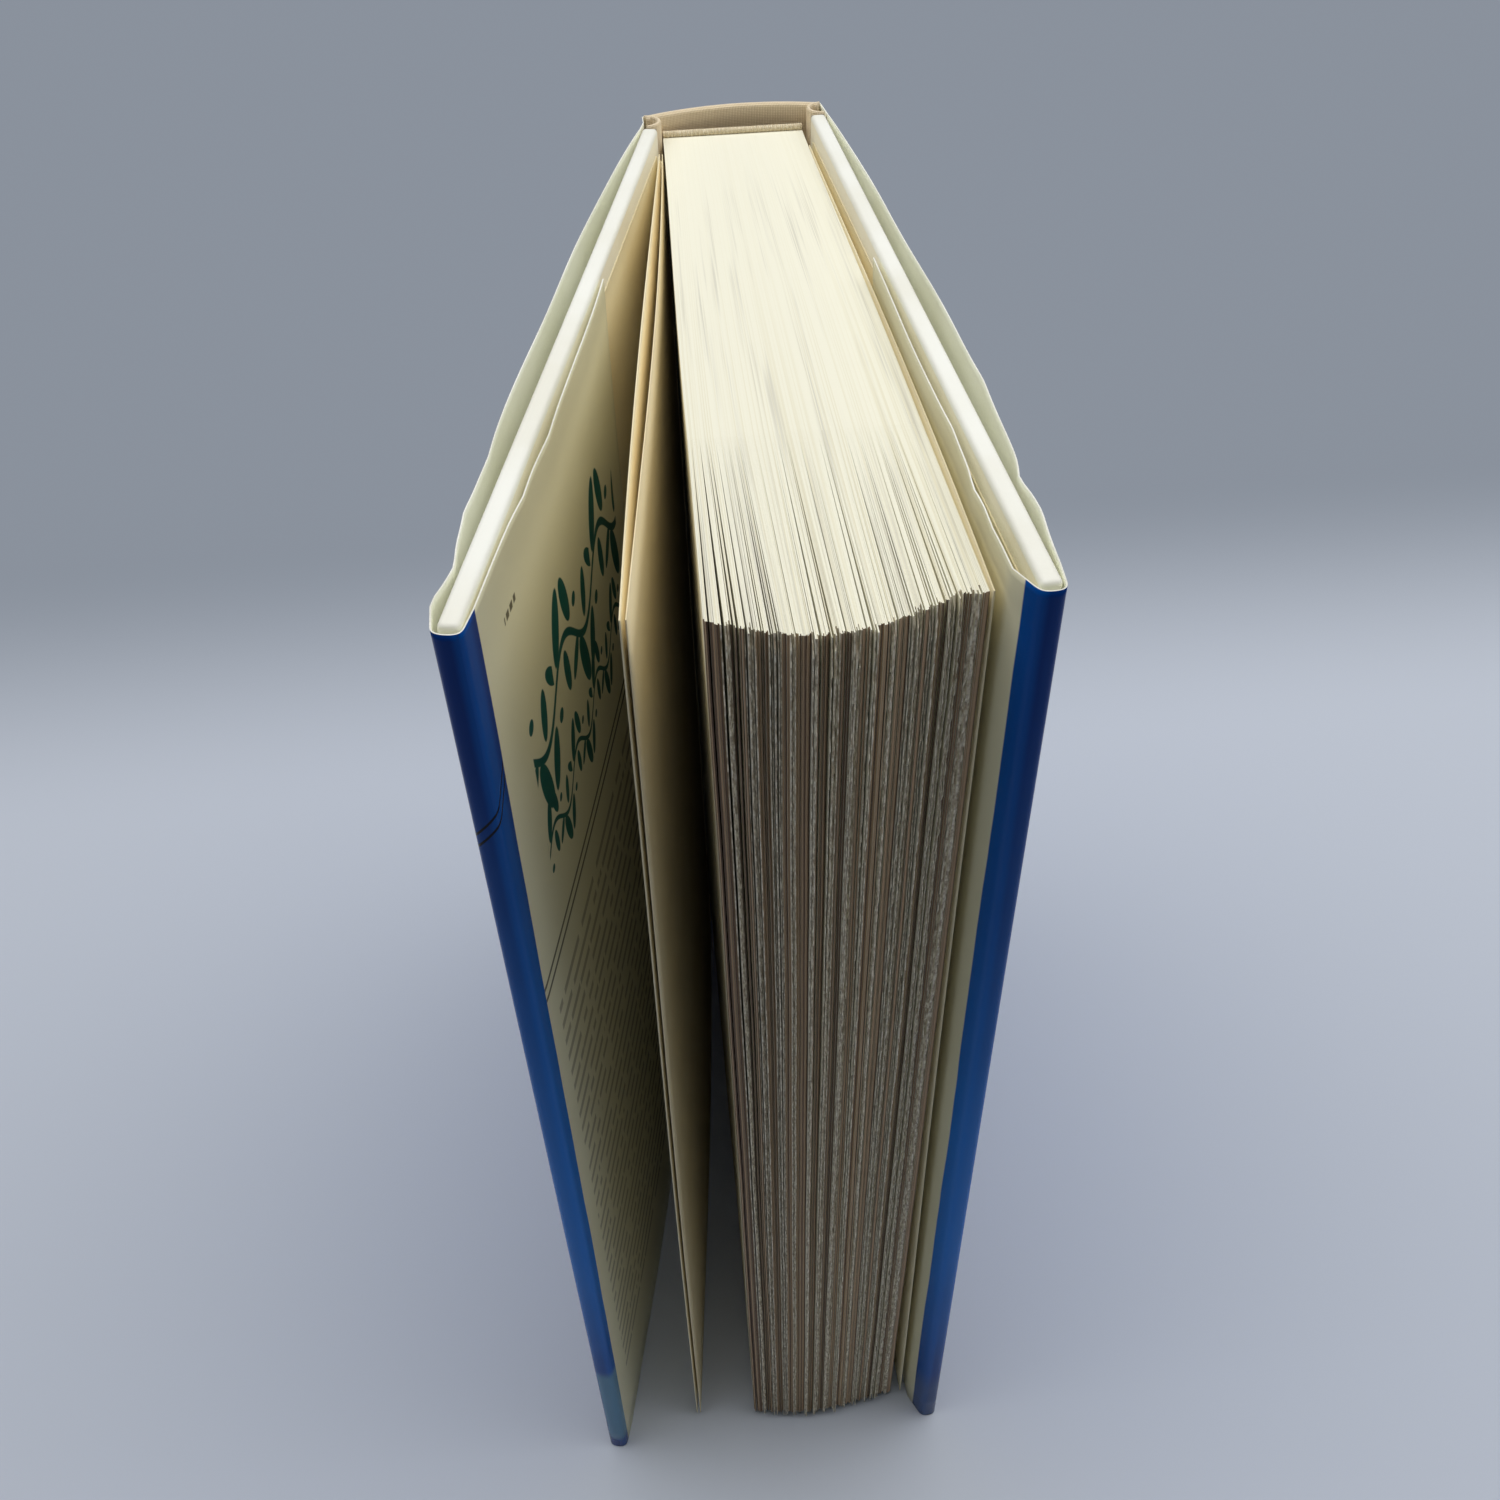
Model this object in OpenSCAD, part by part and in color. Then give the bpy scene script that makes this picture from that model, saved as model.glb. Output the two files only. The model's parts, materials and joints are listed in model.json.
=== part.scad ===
// Hardcover book in a loose dust jacket, standing ajar on its tail edge.
// Z is up, +Y points out of the spine, and the front cover is on the -X side.
// The origin is the middle of the spine's tail edge, on the surface that the book stands on.

/* [Pages] */
// Width of a page, from the back of the block to its fore-edge
page_w = 156; // [120:1:190]
// Height of a page
page_h = 235; // [180:0.5:280]
// Thickness of the page block at its back
block_t = 28.2; // [18:0.2:45]
// Extra thickness at the fore-edge at the head, where the pages fan open
fan_head = 6.4; // [1:0.2:10]
// Extra thickness at the fore-edge at the tail
fan_tail = 3; // [0.5:0.1:10]
// Folded sections gathered in the block
sections = 15; // [6:1:24]
// How far the middle sections stand out at the fore-edge
fore_bow = 5.9; // [0:0.1:8]
// Sideways place of the furthest section, from the middle of the block
bow_x = -3; // [-8:0.5:8]
// How far neighbouring sections step in and out at the rough-cut fore-edge
section_step = 0.7; // [0:0.1:1.5]
// Width of the slit between two sections at the fore-edge, at the head
slit_head = 0.4; // [0.1:0.05:0.8]
// Width of the slit at the tail
slit_tail = 0.2; // [0.05:0.05:0.6]
// Depth of a slit
slit_depth = 26; // [5:1:45]

/* [Loose leaves] */
// Thickness of the endpapers
endpaper_t = 0.2; // [0.1:0.05:0.4]
// Thickness of the first leaf behind the endpaper
leaf_t = 0.15; // [0.1:0.01:0.3]
// How far the front endpaper stands off the block at the fore-edge
leaf_spread = 10.4; // [4:0.1:18]
// How far the first leaf lags behind the endpaper at the fore-edge
leaf_lag = 0.5; // [0.2:0.1:2]
// How far the first leaf sags back towards the block half way along
leaf_sag = 1.6; // [0:0.1:1.8]
// How far the back endpaper stands off the block at the fore-edge
back_leaf_spread = 0.8; // [0.3:0.1:3]
// Room between a leaf and the sheet or block behind it, at the gutter
leaf_room = 0.12; // [0.05:0.01:0.3]

/* [Boards] */
// Thickness of the bare board
board_t = 2.5; // [1.5:0.1:4]
// Thickness of the paper that covers a board
cover_t = 0.25; // [0.15:0.05:0.5]
// Width of the cover paper folded onto the inside of the board
turn_in = 15; // [8:1:25]
// Overhang of the boards past the pages at the head
head_square = 4; // [2:0.5:8]
// Overhang of the boards past the pages at the tail
tail_square = 2; // [1:0.5:6]
// Overhang of the boards past the outer pages at the fore-edge
fore_square = 5.5; // [2:0.5:8]
// Rounding of the covered fore-edge
edge_r = 0.8; // [0.4:0.1:1.2]
// Margin of cover paper left bare round the pasted endpaper
paste_margin = 4; // [2:0.5:8]
// Room between the front flap and the pages at the fore-edge
front_gap = 27.5; // [22:0.5:60]
// Room between the back flap and the back endpaper at the fore-edge
back_gap = 1.8; // [1:0.1:20]

/* [Spine] */
// Thickness of the spine cloth
cloth_t = 0.5; // [0.4:0.1:1]
// Thickness of the card that stiffens the spine
inlay_t = 0.8; // [0.6:0.1:2]
// Outward bow of the spine
spine_rise = 3.2; // [1.5:0.1:6]
// Turn of the spine towards the front cover, in degrees
spine_lean = 3.4; // [0:0.1:8]
// Least room in the hollow between the spine card and the bands on the back of the block
hollow = 0.3; // [0.1:0.1:6]
// Inside radius of the groove in which a cover swings
groove_r = 2.5; // [2:0.1:5]
// Running room between a groove and the edge of its board
joint_room = 0.4; // [0.3:0.05:1]
// Room between a groove and the lined shoulder of the block
shoulder_room = 0.1; // [0.05:0.05:0.4]
// Thickness of the cloth that lines the back of the block
lining_t = 0.3; // [0.2:0.05:0.6]
// Width of the lining turned onto each side of the block
lining_flange = 8; // [4:0.5:15]
// Distance that the lining stops short of the head and tail of the block
lining_short = 13; // [12:0.5:25]
// Radius of the bead of the head and tail bands
band_r = 0.7; // [0.5:0.1:1]
// Height of the tape below a band's bead
band_tape = 10; // [5:0.5:11]
// Thickness of the band's tape
band_t = 0.5; // [0.3:0.1:0.6]

/* [Dust jacket] */
// Thickness of the jacket paper
jacket_t = 0.2; // [0.12:0.02:0.4]
// Least room between the jacket and what it wraps
jacket_room = 0.3; // [0.2:0.05:0.6]
// How far the jacket is cut short of the boards at the head and tail
jacket_short = 0.3; // [0.1:0.1:2]
// Width of the flaps folded inside the covers
flap_w = 92; // [50:1:120]
// How far the fold stands out past the fore-edge of a board
fold_out = 0.9; // [0.8:0.1:3]
// Outward bow of the front panel
front_bulge = 2.6; // [0.2:0.1:5]
// Outward bow of the back panel
back_bulge = 2.2; // [0.2:0.1:5]
// Inward bow of the front flap
front_flap_bulge = 0.6; // [0.1:0.1:3]
// Inward bow of the back flap
back_flap_bulge = 1.8; // [0.1:0.1:3]
// Least room between a flap and the loose leaf beside it
flap_room = 0.2; // [0.1:0.05:0.5]

/* [Hidden] */

// Smoothness of the round faces
$fn = 96;
// Overlap that keeps a cut from leaving a film
cut = 1;

// Heights
board_h = tail_square + page_h + head_square;
jacket_h = board_h - 2 * jacket_short;

// Thickness of a covered board, and of the pages at the fore-edge
covered_t = board_t + 2 * cover_t;
fan_half_head = (block_t + fan_head) / 2;
fan_half_tail = (block_t + fan_tail) / 2;

// Each cover swings round the centre line of a groove, which lies in the plane of its outer face
joint_r = groove_r + cloth_t;
groove_mid = groove_r + cloth_t / 2;
hinge_y = -spine_rise - groove_mid;
hinge_x = (block_t / 2 + lining_t + shoulder_room + joint_r - hinge_y * sin(spine_lean)) / cos(spine_lean);
hinge_front = turned([-hinge_x, hinge_y], spine_lean);
hinge_back = turned([hinge_x, hinge_y], spine_lean);
spine_r = (hinge_x * hinge_x + spine_rise * spine_rise) / (2 * spine_rise);

// Share of its radius by which a band's bead stands clear of the corner of the block
bead_share = 0.75;

// The back of the block keeps clear of the spine card at the shoulder where the card comes nearest
card_r = spine_r - cloth_t / 2 - inlay_t;
card_axis = turned([0, -spine_r], spine_lean);
shoulder_x = block_t / 2 + lining_t;
card_y = card_axis.y + sqrt(card_r * card_r - pow(shoulder_x + card_axis.x, 2));
block_y = card_y - hollow - max(lining_t, band_r * (1 + bead_share));

// The boards run from the groove to past the fore-edge of the outer pages
board_start = joint_r + joint_room;
board_end = page_w + fore_square + hinge_y - block_y;
board_w = board_end - board_start;

// Steps along curved sheets
panel_steps = 24;
fold_steps = 10;
leaf_steps = 16;
side_steps = 10;
spine_steps = 16;

// Solid width of the block kept behind the feet of the slits
slit_margin = 5;
// How quickly the sides of the block fan out, and how squarely the jacket bows
fan_power = 1.2;
bow_power = 0.7;
// Share of the block's width that lies behind the feet of the slits
side_share = 1 - (slit_depth + slit_margin) / page_w;
// Turn between one section's step at the fore-edge and the next, in degrees
step_turn = 137.5;

// The covers stand open by what the fanned pages, the flaps and the gaps take up
front_leaf_room = 2 * leaf_room + leaf_t + endpaper_t;
back_leaf_room = leaf_room + endpaper_t;
front_open = max(
    open_angle(-hinge_front.x, front_gap, front_flap_bulge),
    clear_angle([-hinge_front.x, hinge_front.y], front_leaf_room, leaf_spread, front_flap_bulge));
back_open = max(
    open_angle(hinge_back.x, back_leaf_spread + endpaper_t + back_gap, back_flap_bulge),
    clear_angle(hinge_back, back_leaf_room, back_leaf_spread, back_flap_bulge));

echo(hinge_front = hinge_front, hinge_back = hinge_back, front_open = front_open, back_open = back_open);
echo(board_h = board_h, board_w = board_w, spine_r = spine_r, block_y = block_y);

// A point in plan turned about the origin
function turned(p, a) = [p.x * cos(a) - p.y * sin(a), p.x * sin(a) + p.y * cos(a)];

// Angle at which a cover leaves the given gap between its flap and the pages
function open_angle(hinge_dist, gap, flap_bulge) =
    asin((fan_half_head + gap + flap_depth(flap_bulge) - hinge_dist) / board_w);
// Angle at which the whole flap stays clear of the loose leaf beside it
function clear_angle(hinge, room, spread, flap_bulge) =
    max([for (i = [1:panel_steps]) let (
            v = i / panel_steps,
            u = board_end - flap_w * v,
            share = min(1, (u + block_y - hinge.y) / page_w),
            leaf = block_side(share, 1) + room + spread * share,
            depth = flap_depth(flap_bulge * pow(sin(180 * v), bow_power)))
        asin((leaf + flap_room + depth - hinge.x) / u)]);
// Depth of a covered board with its flap, from the outer face
function flap_depth(flap_bulge) = covered_t + jacket_room + jacket_t + flap_bulge;

// Plan points on the front and back covers: u runs from the groove to the fore-edge, s points outward
function front_point(u, s) = hinge_front + turned([-s, -u], -front_open);
function back_point(u, s) = hinge_back + turned([s, -u], back_open);

// Half the thickness of the block at share v of its width and share k of its height
function fan_half(k) = fan_half_tail + (fan_half_head - fan_half_tail) * k;
function block_side(v, k) = block_t / 2 + (fan_half(k) - block_t / 2) * pow(sin(90 * v), fan_power);

// Fore-edge of the block: the middle sections stand out, and each section has a step of its own
function fore_y(x, i) =
    block_y - page_w - fore_bow * max(0, cos(90 * (x - bow_x) / fan_half_head)) + section_step * sin(step_turn * i);

// Outline of one section at the fore-edge, and the foot of the slit that follows it
function section_edge(i, k) =
    let (pitch = 2 * fan_half(k) / sections,
         slit = (slit_tail + (slit_head - slit_tail) * k) / 2,
         a = -fan_half(k) + pitch * i + (i > 0 ? slit : 0),
         b = -fan_half(k) + pitch * (i + 1) - (i < sections - 1 ? slit : 0))
    concat([[a, fore_y(a, i)], [(a + b) / 2, fore_y((a + b) / 2, i) - slit], [b, fore_y(b, i)]],
           i < sections - 1 ? [[b + slit, fore_y(b + slit, 0) + slit_depth]] : []);

// Outline of the block at share k of its height, counter-clockwise from the back of the front side
function block_ring(k) = concat(
    [for (i = [0:side_steps - 1]) let (v = side_share * i / (side_steps - 1))
        [-block_side(v, k), block_y - page_w * v]],
    [for (i = [0:sections - 1]) each section_edge(i, k)],
    [for (i = [side_steps - 1:-1:0]) let (v = side_share * i / (side_steps - 1))
        [block_side(v, k), block_y - page_w * v]]);

// Points of that outline by name: the front and back sides, and a section's middle at the fore-edge
function at_front(i) = i;
function at_back(i) = 2 * side_steps + 4 * sections - 2 - i;
function at_section(i) = side_steps + 4 * i + 1;
// Foot of the slit after section i, which for the ends of the row is the last point of a side
function at_slit(i) =
    i < 0 ? at_front(side_steps - 1) : i > sections - 2 ? at_back(side_steps - 1) : at_section(i) + 2;

// Triangles that close the outline: across the sides, down each section, and over the feet of the slits
function block_cap() =
    let (mid = floor(sections / 2) - 1, last = side_steps - 1)
    concat(
        [for (i = [0:last - 1]) each [[at_front(i), at_front(i + 1), at_back(i + 1)],
                                      [at_front(i), at_back(i + 1), at_back(i)]]],
        [for (i = [0:sections - 1]) let (m = at_section(i)) each [[m, m + 1, at_slit(i)],
                                                                  [m, at_slit(i), at_slit(i - 1)],
                                                                  [m, at_slit(i - 1), m - 1]]],
        [for (i = [0:sections - 3]) [i < mid ? at_front(last) : at_back(last), at_slit(i), at_slit(i + 1)]],
        [[at_front(last), at_slit(mid), at_back(last)]]);

// Plan path of a leaf that lies beside the block, on side -1 or 1
function leaf_path(side, room, spread, sag) =
    let (first = (lining_flange + 2 * leaf_room) / page_w)
    [for (i = [0:leaf_steps]) let (v = first + (1 - first) * i / leaf_steps)
        [side * (block_side(v, 1) + room + spread * v - sag * sin(180 * v)), block_y - page_w * v]];

// Plan path of a jacket panel, its fold round the fore-edge and its flap, on the front cover before it opens
function jacket_path(bulge, flap_bulge) =
    let (outer = jacket_room + jacket_t / 2,
         inner = -covered_t - outer,
         mid = (outer + inner) / 2,
         half = (outer - inner) / 2)
    [for (p = concat(
        [for (i = [0:panel_steps - 1]) let (v = i / panel_steps)
            [board_start + board_w * v, outer + bulge * pow(sin(180 * v), bow_power)]],
        [for (i = [0:fold_steps]) let (a = 90 - 180 * i / fold_steps)
            [board_end + fold_out * cos(a), mid + half * sin(a)]],
        [for (i = [1:panel_steps]) let (v = i / panel_steps)
            [board_end - flap_w * v, inner - flap_bulge * pow(sin(180 * v), bow_power)]]))
     [-p[1], -p[0]]];

// Plan path of the jacket across the spine and both grooves
function jacket_spine_path() =
    let (r = spine_r + cloth_t / 2 + jacket_room + jacket_t / 2,
         reach = asin(hinge_x / spine_r),
         over = board_start - joint_room,
         s = jacket_room + jacket_t / 2)
    concat([front_point(over, s), front_point(0, s)],
           [for (i = [0:spine_steps]) let (a = reach * (2 * i / spine_steps - 1))
               turned([r * sin(a), r * cos(a) - spine_r], spine_lean)],
           [back_point(0, s), back_point(over, s)]);

// Unit normal of a plan path at point i
function path_normal(path, i) =
    let (last = len(path) - 1, d = path[min(i + 1, last)] - path[max(i - 1, 0)])
    [-d.y, d.x] / norm(d);

// Outline of a sheet of thickness t along a plan path
function strip(path, t) = concat(
    [for (i = [0:len(path) - 1]) path[i] + path_normal(path, i) * t / 2],
    [for (i = [len(path) - 1:-1:0]) path[i] - path_normal(path, i) * t / 2]);

// Upright sheet of thickness t and height h along a plan path
module sheet(path, t, h) {
    linear_extrude(height = h) polygon(strip(path, t));
}

// Solid between two outlines of as many points, one at each height, closed by the triangles of cap
module loft(lower, upper, z0, z1, cap) {
    n = len(lower);
    polyhedron(
        points = concat([for (p = lower) [p.x, p.y, z0]], [for (p = upper) [p.x, p.y, z1]]),
        faces = concat(
            cap,
            [for (t = cap) [n + t[2], n + t[1], n + t[0]]],
            [for (i = [0:n - 1]) [i, n + i, n + (i + 1) % n]],
            [for (i = [0:n - 1]) [i, n + (i + 1) % n, (i + 1) % n]]));
}

// Places a piece of a cover that was drawn closed, with its groove's centre line at the origin
module on_front() {
    translate(hinge_front) rotate([0, 0, -front_open]) children();
}
module on_back() {
    translate(hinge_back) rotate([0, 0, back_open]) mirror([1, 0, 0]) children();
}

// Plan of a covered board from u0 to u1 and from s0 inwards to s1, rounded along the fore-edge
module board_plan(u0, u1, s0, s1, r) {
    translate([-s0, -u1 + r]) square([s0 - s1, u1 - u0 - r]);
    translate([-s0 + r, -u1]) square([s0 - s1 - 2 * r, u1 - u0]);
    for (s = [s0 - r, s1 + r]) translate([-s, -u1 + r]) circle(r);
}

// Bare board
module bare_board() {
    translate([0, 0, cover_t]) linear_extrude(height = board_h - 2 * cover_t)
        board_plan(board_start, board_end - cover_t, -cover_t, -cover_t - board_t, edge_r - cover_t);
}

// Paper wrapped round the board's head, tail and fore-edge and turned in
module board_wrap() {
    difference() {
        linear_extrude(height = board_h) board_plan(board_start, board_end, 0, -covered_t, edge_r);
        translate([0, 0, cover_t]) linear_extrude(height = board_h - 2 * cover_t)
            board_plan(board_start - cut, board_end - cover_t, -cover_t, -cover_t - board_t, edge_r - cover_t);
        translate([covered_t - 2 * cover_t, -board_end + turn_in, turn_in])
            cube([2 * cover_t + cut, board_w - turn_in + cut, board_h - 2 * turn_in]);
    }
}

// Half of an endpaper glued inside a board, over the turned-in paper and down onto the bare board
module pasted_endpaper() {
    long = board_w - 2 * paste_margin;
    translate([covered_t, -board_end + paste_margin, paste_margin])
        cube([endpaper_t, long, board_h - 2 * paste_margin]);
    translate([covered_t - cover_t, -board_end + turn_in, turn_in])
        cube([cover_t + endpaper_t, long + paste_margin - turn_in, board_h - 2 * turn_in]);
}

// Wall of the spine's bow between two radii, cut square at half width
module spine_wall(r_in, r_out, half_w, h) {
    intersection() {
        translate([0, -spine_r, 0]) difference() {
            cylinder(r = r_out, h = h);
            translate([0, 0, -cut]) cylinder(r = r_in, h = h + 2 * cut);
        }
        translate([-half_w, -spine_rise - groove_mid, -cut]) cube([2 * half_w, 2 * groove_mid + spine_rise, h + 2 * cut]);
    }
}

// Cloth pressed into the groove beside the spine, half round on the groove's centre line
module groove(side) {
    translate([side * hinge_x, hinge_y, 0]) difference() {
        cylinder(r = joint_r, h = board_h);
        translate([0, 0, -cut]) cylinder(r = groove_r, h = board_h + 2 * cut);
        translate([side > 0 ? 0 : -2 * joint_r, -2 * joint_r, -cut])
            cube([2 * joint_r, 4 * joint_r, board_h + 2 * cut]);
    }
}

// Beaded band on a tape that is glued to the back of the block
module band() {
    translate([-block_t / 2, block_y, -band_tape]) cube([block_t, band_t, band_tape]);
    translate([-block_t / 2, block_y + bead_share * band_r, bead_share * band_r])
        rotate([0, 90, 0]) cylinder(r = band_r, h = block_t);
}

module text_block() {
    color("ivory") loft(block_ring(0), block_ring(1), tail_square, tail_square + page_h, block_cap());
}

module first_leaf() {
    color("cornsilk") translate([0, 0, tail_square])
        sheet(leaf_path(-1, leaf_room + leaf_t / 2, leaf_spread - leaf_lag, leaf_sag), leaf_t, page_h);
}

module front_free_endpaper() {
    color("cornsilk") translate([0, 0, tail_square])
        sheet(leaf_path(-1, 2 * leaf_room + leaf_t + endpaper_t / 2, leaf_spread, 0), endpaper_t, page_h);
}

module back_free_endpaper() {
    color("cornsilk") translate([0, 0, tail_square])
        sheet(leaf_path(1, leaf_room + endpaper_t / 2, back_leaf_spread, 0), endpaper_t, page_h);
}

module spine_lining() {
    y = block_y + lining_t;
    x = block_t / 2;
    end_y = block_y - lining_flange;
    end_x = block_side(lining_flange / page_w, 1) + leaf_room / 2;
    color("wheat") translate([0, 0, tail_square + lining_short]) linear_extrude(height = page_h - 2 * lining_short)
        polygon([[-end_x - lining_t, end_y], [-end_x, end_y], [-x, block_y], [x, block_y],
                 [end_x, end_y], [end_x + lining_t, end_y], [x + lining_t, y], [-x - lining_t, y]]);
}

module head_band() {
    color("tan") translate([0, 0, tail_square + page_h]) band();
}

module tail_band() {
    color("tan") translate([0, 0, tail_square]) mirror([0, 0, 1]) band();
}

module spine_inlay() {
    r = spine_r - cloth_t / 2;
    color("darkkhaki") rotate([0, 0, spine_lean]) translate([0, 0, cover_t])
        spine_wall(r - inlay_t, r, hinge_x - joint_r, board_h - 2 * cover_t);
}

module spine_cloth() {
    color("tan") rotate([0, 0, spine_lean]) {
        spine_wall(spine_r - cloth_t / 2, spine_r + cloth_t / 2, hinge_x, board_h);
        for (side = [-1, 1]) groove(side);
    }
}

module front_board() {
    color("gray") on_front() bare_board();
}

module front_cover_paper() {
    color("floralwhite") on_front() board_wrap();
}

module front_pastedown() {
    color("cornsilk") on_front() pasted_endpaper();
}

module jacket_front() {
    color("royalblue") on_front() translate([0, 0, jacket_short])
        sheet(jacket_path(front_bulge, front_flap_bulge), jacket_t, jacket_h);
}

module back_board() {
    color("gray") on_back() bare_board();
}

module back_cover_paper() {
    color("floralwhite") on_back() board_wrap();
}

module back_pastedown() {
    color("cornsilk") on_back() pasted_endpaper();
}

module jacket_back() {
    color("royalblue") on_back() translate([0, 0, jacket_short])
        sheet(jacket_path(back_bulge, back_flap_bulge), jacket_t, jacket_h);
}

module jacket_spine() {
    color("royalblue") translate([0, 0, jacket_short]) sheet(jacket_spine_path(), jacket_t, jacket_h);
}

text_block();
first_leaf();
front_free_endpaper();
back_free_endpaper();
spine_lining();
head_band();
tail_band();
spine_inlay();
spine_cloth();
front_board();
front_cover_paper();
front_pastedown();
jacket_front();
back_board();
back_cover_paper();
back_pastedown();
jacket_back();
jacket_spine();
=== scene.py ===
"""Hardcover book in a loose dust jacket, standing ajar: the finished look of every piece."""
import json
import math

import bmesh
import bpy
from mathutils import Matrix, Vector


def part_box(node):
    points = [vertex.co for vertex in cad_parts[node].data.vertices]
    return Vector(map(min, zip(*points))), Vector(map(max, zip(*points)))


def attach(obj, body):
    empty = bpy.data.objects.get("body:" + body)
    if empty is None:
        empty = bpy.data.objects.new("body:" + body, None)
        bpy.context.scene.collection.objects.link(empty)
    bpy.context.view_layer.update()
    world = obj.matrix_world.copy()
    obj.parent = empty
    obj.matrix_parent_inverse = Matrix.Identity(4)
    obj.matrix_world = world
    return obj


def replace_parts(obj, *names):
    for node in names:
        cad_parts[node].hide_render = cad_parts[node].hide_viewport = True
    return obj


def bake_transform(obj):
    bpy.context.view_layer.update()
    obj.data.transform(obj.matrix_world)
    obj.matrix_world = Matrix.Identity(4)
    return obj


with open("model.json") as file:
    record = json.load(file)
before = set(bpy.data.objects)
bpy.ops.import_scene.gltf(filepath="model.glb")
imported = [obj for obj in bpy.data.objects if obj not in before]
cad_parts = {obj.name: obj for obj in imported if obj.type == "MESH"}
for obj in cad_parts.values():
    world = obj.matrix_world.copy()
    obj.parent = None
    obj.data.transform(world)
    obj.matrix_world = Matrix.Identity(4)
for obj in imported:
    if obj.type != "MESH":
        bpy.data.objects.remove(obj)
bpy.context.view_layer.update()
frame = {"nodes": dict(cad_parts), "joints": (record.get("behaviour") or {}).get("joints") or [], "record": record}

# Lengths below are in millimetres, and this is one of them in Blender's metres
MM = 0.001

# Page block: the fan is half its thickness at the fore-edge, and the bow is how far that edge stands out
PAGE_W = 156.0
BLOCK_T = 28.2
FAN_HALF_HEAD = 17.3
FAN_HALF_TAIL = 15.6
FAN_POWER = 1.2
FORE_BOW = 5.9
BOW_X = -3.0
TAIL_BOW_SHARE = 0.4

# Rough-cut leaves, which are separate from this share of the page's width on
EDGE_START = 0.74
LEAVES = 180
EDGE_ROWS = 260
EDGE_PARTS = 3
EDGE_SEED = 3.0

# Bundles of those leaves: how many leaves, the share that is torn, and the gaps in leaf thicknesses
BUNDLE = 13.5
TORN_SHARE = 0.44
WIDEST_GAP = 2.3
BUNDLE_GAP = 1.9

# How unevenly the leaves end at the fore-edge and the head, and how far the outermost ones stand off
LEAF_STEP = 0.9
TORN_OUT = 0.4
DECKLE = 0.9
DECKLE_LENGTH = 2.0
HEAD_JITTER = 0.12
END_SPREAD = 0.6

# Loose leaves: where they start and bend, as shares of the page's width, and how far they stand off
LEAF_START = 0.053
GUTTER_END = 0.12
ENDPAPER_T = 0.2
LEAF_T = 0.15
LEAF_ROOM = 0.12
LEAF_SPREAD = 10.4
LEAF_LAG = 0.5
LEAF_SAG = 1.6
BACK_LEAF_SPREAD = 0.8
TAIL_SPREAD = 1.5
LEAF_RIPPLE = 0.25
RIPPLE_LENGTH = 38.0

# Covers: distances from the groove's centre line, which lies in the plane of the board's outer face
BOARD_START = 3.4
COVERED_T = 3.0
BOARD_ROUND = 0.8
PASTE_START = 7.4

# Spine, with a band at the head and the tail of the block
SPINE_RISE = 3.2
SPINE_LEAN = math.radians(3.4)
CLOTH_T = 0.5
INLAY_T = 0.8
GROOVE_MID = 2.75
TURN_IN = 15.0
TURNED_CLOTH_T = 0.3
BAND_R = 0.7
BAND_TURNS = 70
BEAD_SHARE = 0.75
BAND_TAPE = 10.0
BAND_T = 0.5

# Dust jacket
JACKET_T = 0.2
JACKET_OFF = 0.4
JACKET_SHORT = 0.3
FLAP_W = 92.0
FOLD_OUT = 1.25
FOLD_ROUND = 0.9
BOW_POWER = 0.85
FRONT_SHAPE = {"bulge": 2.6, "flap_bulge": 0.4, "fold_swell": 0.05, "kink": 3.8, "kink_depth": 0.3}
BACK_SHAPE = {"bulge": 2.2, "flap_bulge": 0.4, "fold_swell": -0.2, "kink": 3.9, "kink_depth": 1.8}

# How far from the head and the tail the jacket's waves and dents reach, and how high the waves stand
HEAD_WAVE_REACH = 22.0
TAIL_WAVE_REACH = 30.0
DENT_REACH = 14.0
WAVE_HEIGHT = 0.7

# Dents in the jacket's head edge: distance from the groove, width and depth
FRONT_PANEL_DENTS = ((149.0, 3.6, -0.7), (156.5, 2.8, 0.9), (137.0, 3.0, 0.35), (124.0, 5.0, -0.3))
FRONT_FLAP_DENTS = ((133.0, 4.0, 0.35), (118.0, 5.0, 0.3))
BACK_PANEL_DENTS = ((138.0, 3.0, -0.8), (146.0, 4.5, 0.4), (112.0, 6.0, 0.4))
BACK_FLAP_DENTS = ((139.0, 3.0, 0.45), (124.0, 4.0, -0.2), (148.0, 3.0, 0.2))

# Print: heights from the tail, and how far round the fold the blue goes at the head and at the tail
FRONT_WRAP = (6.4, 3.4)
BACK_WRAP = (4.4, 4.8)
STROKE_HEIGHT = 206.0
STROKE_GAP = 2.2
RULE_HEIGHT = 165.0
RULE_GAP = 2.6
ROW_PITCH = 4.4
CORNER_BAR_HEIGHT = 231.0
CORNER_BAR_PITCH = 1.9

# Points along and up the sheets
LEAF_LEVELS = 25
LEAF_STEPS = 30
ENDPAPER_STEPS = 28
GUTTER_STEPS = 8
CREASE_STEPS = 13
SPINE_STEPS = 33
GROOVE_STEPS = 17
TURN_STEPS = 9
JACKET_LEVELS = 49
JACKET_SPINE_STEPS = 25
PANEL_STEPS = 81
FOLD_STEPS = 5
FLAP_STEPS = 41

# Places on the frame
BLOCK_LOW, BLOCK_HIGH = (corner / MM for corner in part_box("text_block"))
PAGE_FOOT = BLOCK_LOW.z
PAGE_HEAD = BLOCK_HIGH.z
BLOCK_Y = BLOCK_HIGH.y
BOARD_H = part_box("front_cover_paper")[1].z / MM
JOINTS = {joint["name"]: joint for joint in frame["joints"]}
MOUNTS = {mount["name"]: mount for mount in frame["record"]["mounts"]}

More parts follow.
